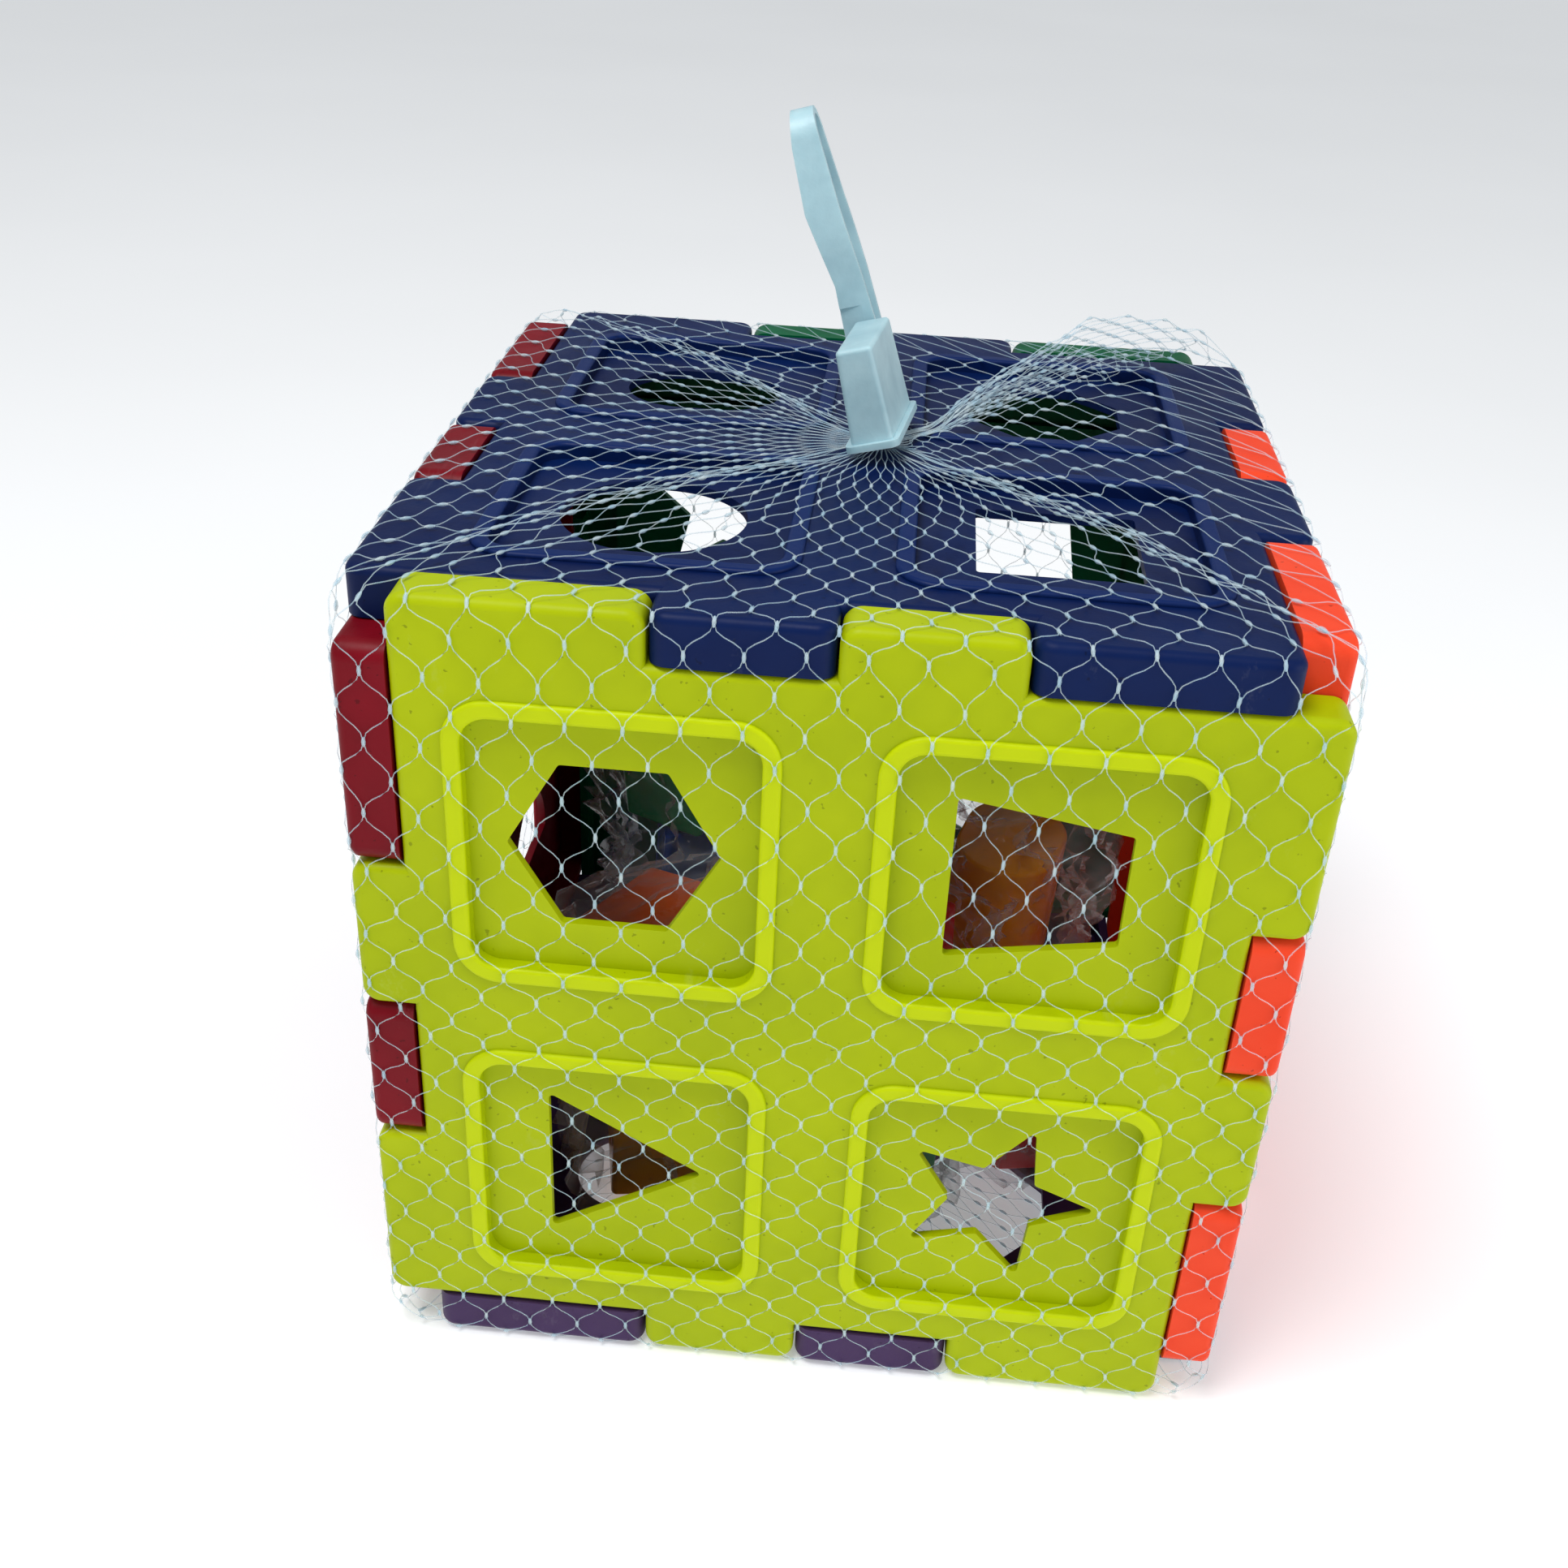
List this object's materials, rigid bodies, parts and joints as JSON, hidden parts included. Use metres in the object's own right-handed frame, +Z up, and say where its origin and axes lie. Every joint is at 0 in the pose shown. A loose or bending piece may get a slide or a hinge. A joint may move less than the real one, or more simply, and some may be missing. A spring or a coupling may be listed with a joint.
{
  "type": "shape sorter",
  "caption": "Hollow cube of interlocking coloured panels with framed shape holes, filled with a film bag of blocks and wrapped in a net closed by a clip with a strap.",
  "frame": {"origin": "centre of the surface that the cube stands on", "axes": "+Z up, -Y the front with the hexagon, trapezoid, triangle and star holes, +X to the right seen from the front"},
  "size_m": [0.1528, 0.1528, 0.2045],
  "materials": {
    "lime_plastic": "satin injection moulded, fluorescent lime",
    "navy_plastic": "satin injection moulded, navy",
    "crimson_plastic": "satin injection moulded, crimson",
    "coral_plastic": "satin injection moulded, bright coral",
    "purple_plastic": "satin injection moulded, purple",
    "green_plastic": "satin injection moulded, green",
    "yellow_block_plastic": "glossy moulded, warm yellow",
    "orange_block_plastic": "glossy moulded, orange",
    "red_block_plastic": "glossy moulded, red",
    "green_block_plastic": "glossy moulded, green",
    "blue_block_plastic": "glossy moulded, blue",
    "purple_block_plastic": "glossy moulded, purple",
    "clear_film": "clear glossy bag film",
    "net_thread": "clear whitish monofilament net",
    "clip_plastic": "milky translucent, pale cyan"
  },
  "bodies": {
    "box": {"bottom_panel": "purple_plastic", "front_panel": "lime_plastic", "back_panel": "green_plastic", "left_panel": "crimson_plastic", "right_panel": "coral_plastic", "net_bag": "net_thread", "net_weld": "net_thread"},
    "lid": {"top_panel": "navy_plastic"},
    "block_bag": {"film_bag": "clear_film", "square_block": "yellow_block_plastic", "hexagon_block": "green_block_plastic", "octagon_block": "red_block_plastic", "pentagon_block": "blue_block_plastic", "circle_block": "orange_block_plastic", "cross_block": "purple_block_plastic", "trapezoid_block": "orange_block_plastic", "star_block": "red_block_plastic", "oval_block": "yellow_block_plastic", "triangle_block": "blue_block_plastic", "diamond_block": "green_block_plastic", "half_round_block": "yellow_block_plastic"},
    "clip": {"clip_head": "clip_plastic", "clip_strap": "clip_plastic"}
  },
  "joints": [
    {"name": "lid_lift", "type": "slide", "parent": "box", "child": "lid", "axis": [0, 0, 1], "range_m": [0, 0.025], "deforming": ["net_bag"]},
    {"name": "bag_lift", "type": "slide", "parent": "box", "child": "block_bag", "axis": [0, 0, 1], "range_m": [0, 0.038]},
    {"name": "clip_tilt", "type": "hinge", "parent": "lid", "child": "clip", "pos_m": [0.0028, 0.0015, 0.154], "axis": [0.1219, 0.9925, 0], "range_deg": [-9, 41], "deforming": ["net_bag"]}
  ]
}
